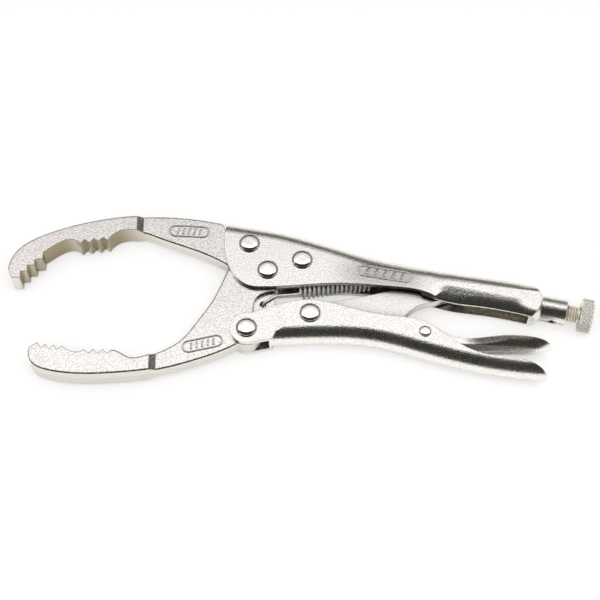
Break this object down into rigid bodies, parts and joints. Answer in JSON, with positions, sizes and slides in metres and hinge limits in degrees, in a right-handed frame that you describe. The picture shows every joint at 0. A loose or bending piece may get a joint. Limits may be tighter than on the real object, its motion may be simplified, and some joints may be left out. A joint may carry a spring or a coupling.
{
  "type": "locking oil filter wrench",
  "caption": "Self-grip pliers with two curved toothed jaws that close round an oil filter and lock, set by a knurled screw at the back of the upper handle.",
  "frame": {"origin": "on the surface that the pliers lie on, under the centre of the whole", "axes": "+X from the jaws to the adjusting knob, +Y from the lower handle to the upper handle, +Z out of the side that faces up"},
  "size_m": [0.2616, 0.0786, 0.016],
  "materials": {
    "plated_forging": "satin nickel plate over a fine grained forging",
    "plated_sheet": "satin nickel plate on pressed sheet",
    "rivet_steel": "polished plated rivet",
    "screw_steel": "plated turned steel",
    "spring_steel": "dark drawn wire"
  },
  "bodies": {
    "upper_handle": {"upper_handle": "plated_sheet", "upper_jaw": "plated_forging", "upper_jaw_rivet_front": "rivet_steel", "upper_jaw_rivet_rear": "rivet_steel", "jaw_pivot_rivet": "rivet_steel", "return_spring": "spring_steel"},
    "lower_jaw": {"lower_jaw": "plated_forging"},
    "lower_handle": {"lower_handle": "plated_sheet", "handle_pivot_rivet": "rivet_steel", "link_pivot_rivet": "rivet_steel", "release_lever_pin": "rivet_steel"},
    "toggle_link": {"toggle_link": "plated_sheet"},
    "release_lever": {"release_lever": "plated_sheet"},
    "adjusting_screw": {"adjusting_screw": "screw_steel"},
    "adjusting_knob": {"adjusting_knob": "screw_steel"}
  },
  "joints": [
    {"name": "jaw_swing", "type": "hinge", "parent": "upper_handle", "child": "lower_jaw", "pos_m": [-0.01461, 0.01117, 0.008], "axis": [0, 0, 1], "range_deg": [0, 16], "deforming": ["return_spring"]},
    {"name": "handle_swing", "type": "hinge", "parent": "lower_jaw", "child": "lower_handle", "pos_m": [-0.02371, -0.01693, 0.008], "axis": [0, 0, 1], "range_deg": [-52, 0]},
    {"name": "link_swing", "type": "hinge", "parent": "lower_handle", "child": "toggle_link", "pos_m": [0.00419, -0.01003, 0.008], "axis": [0, 0, 1], "range_deg": [0, 53]},
    {"name": "lever_press", "type": "hinge", "parent": "lower_handle", "child": "release_lever", "pos_m": [0.05459, -0.01893, 0.008], "axis": [0, 0, 1], "range_deg": [-6, 0]},
    {"name": "screw_advance", "type": "slide", "parent": "upper_handle", "child": "adjusting_screw", "axis": [0.9781, -0.2079, 0], "range_m": [0, 0.0125]},
    {"name": "knob_turn", "type": "hinge", "parent": "adjusting_screw", "child": "adjusting_knob", "pos_m": [0.12387, -0.0083, 0.008], "axis": [0.9781, -0.2079, 0], "range_deg": [0, 3600]}
  ],
  "couplings": [
    {"joint": "handle_swing", "follows": "jaw_swing", "ratio": -3.25},
    {"joint": "link_swing", "follows": "jaw_swing", "ratio": 3.3125},
    {"joint": "screw_advance", "follows": "knob_turn", "m_per_rad": 0.00019894}
  ]
}
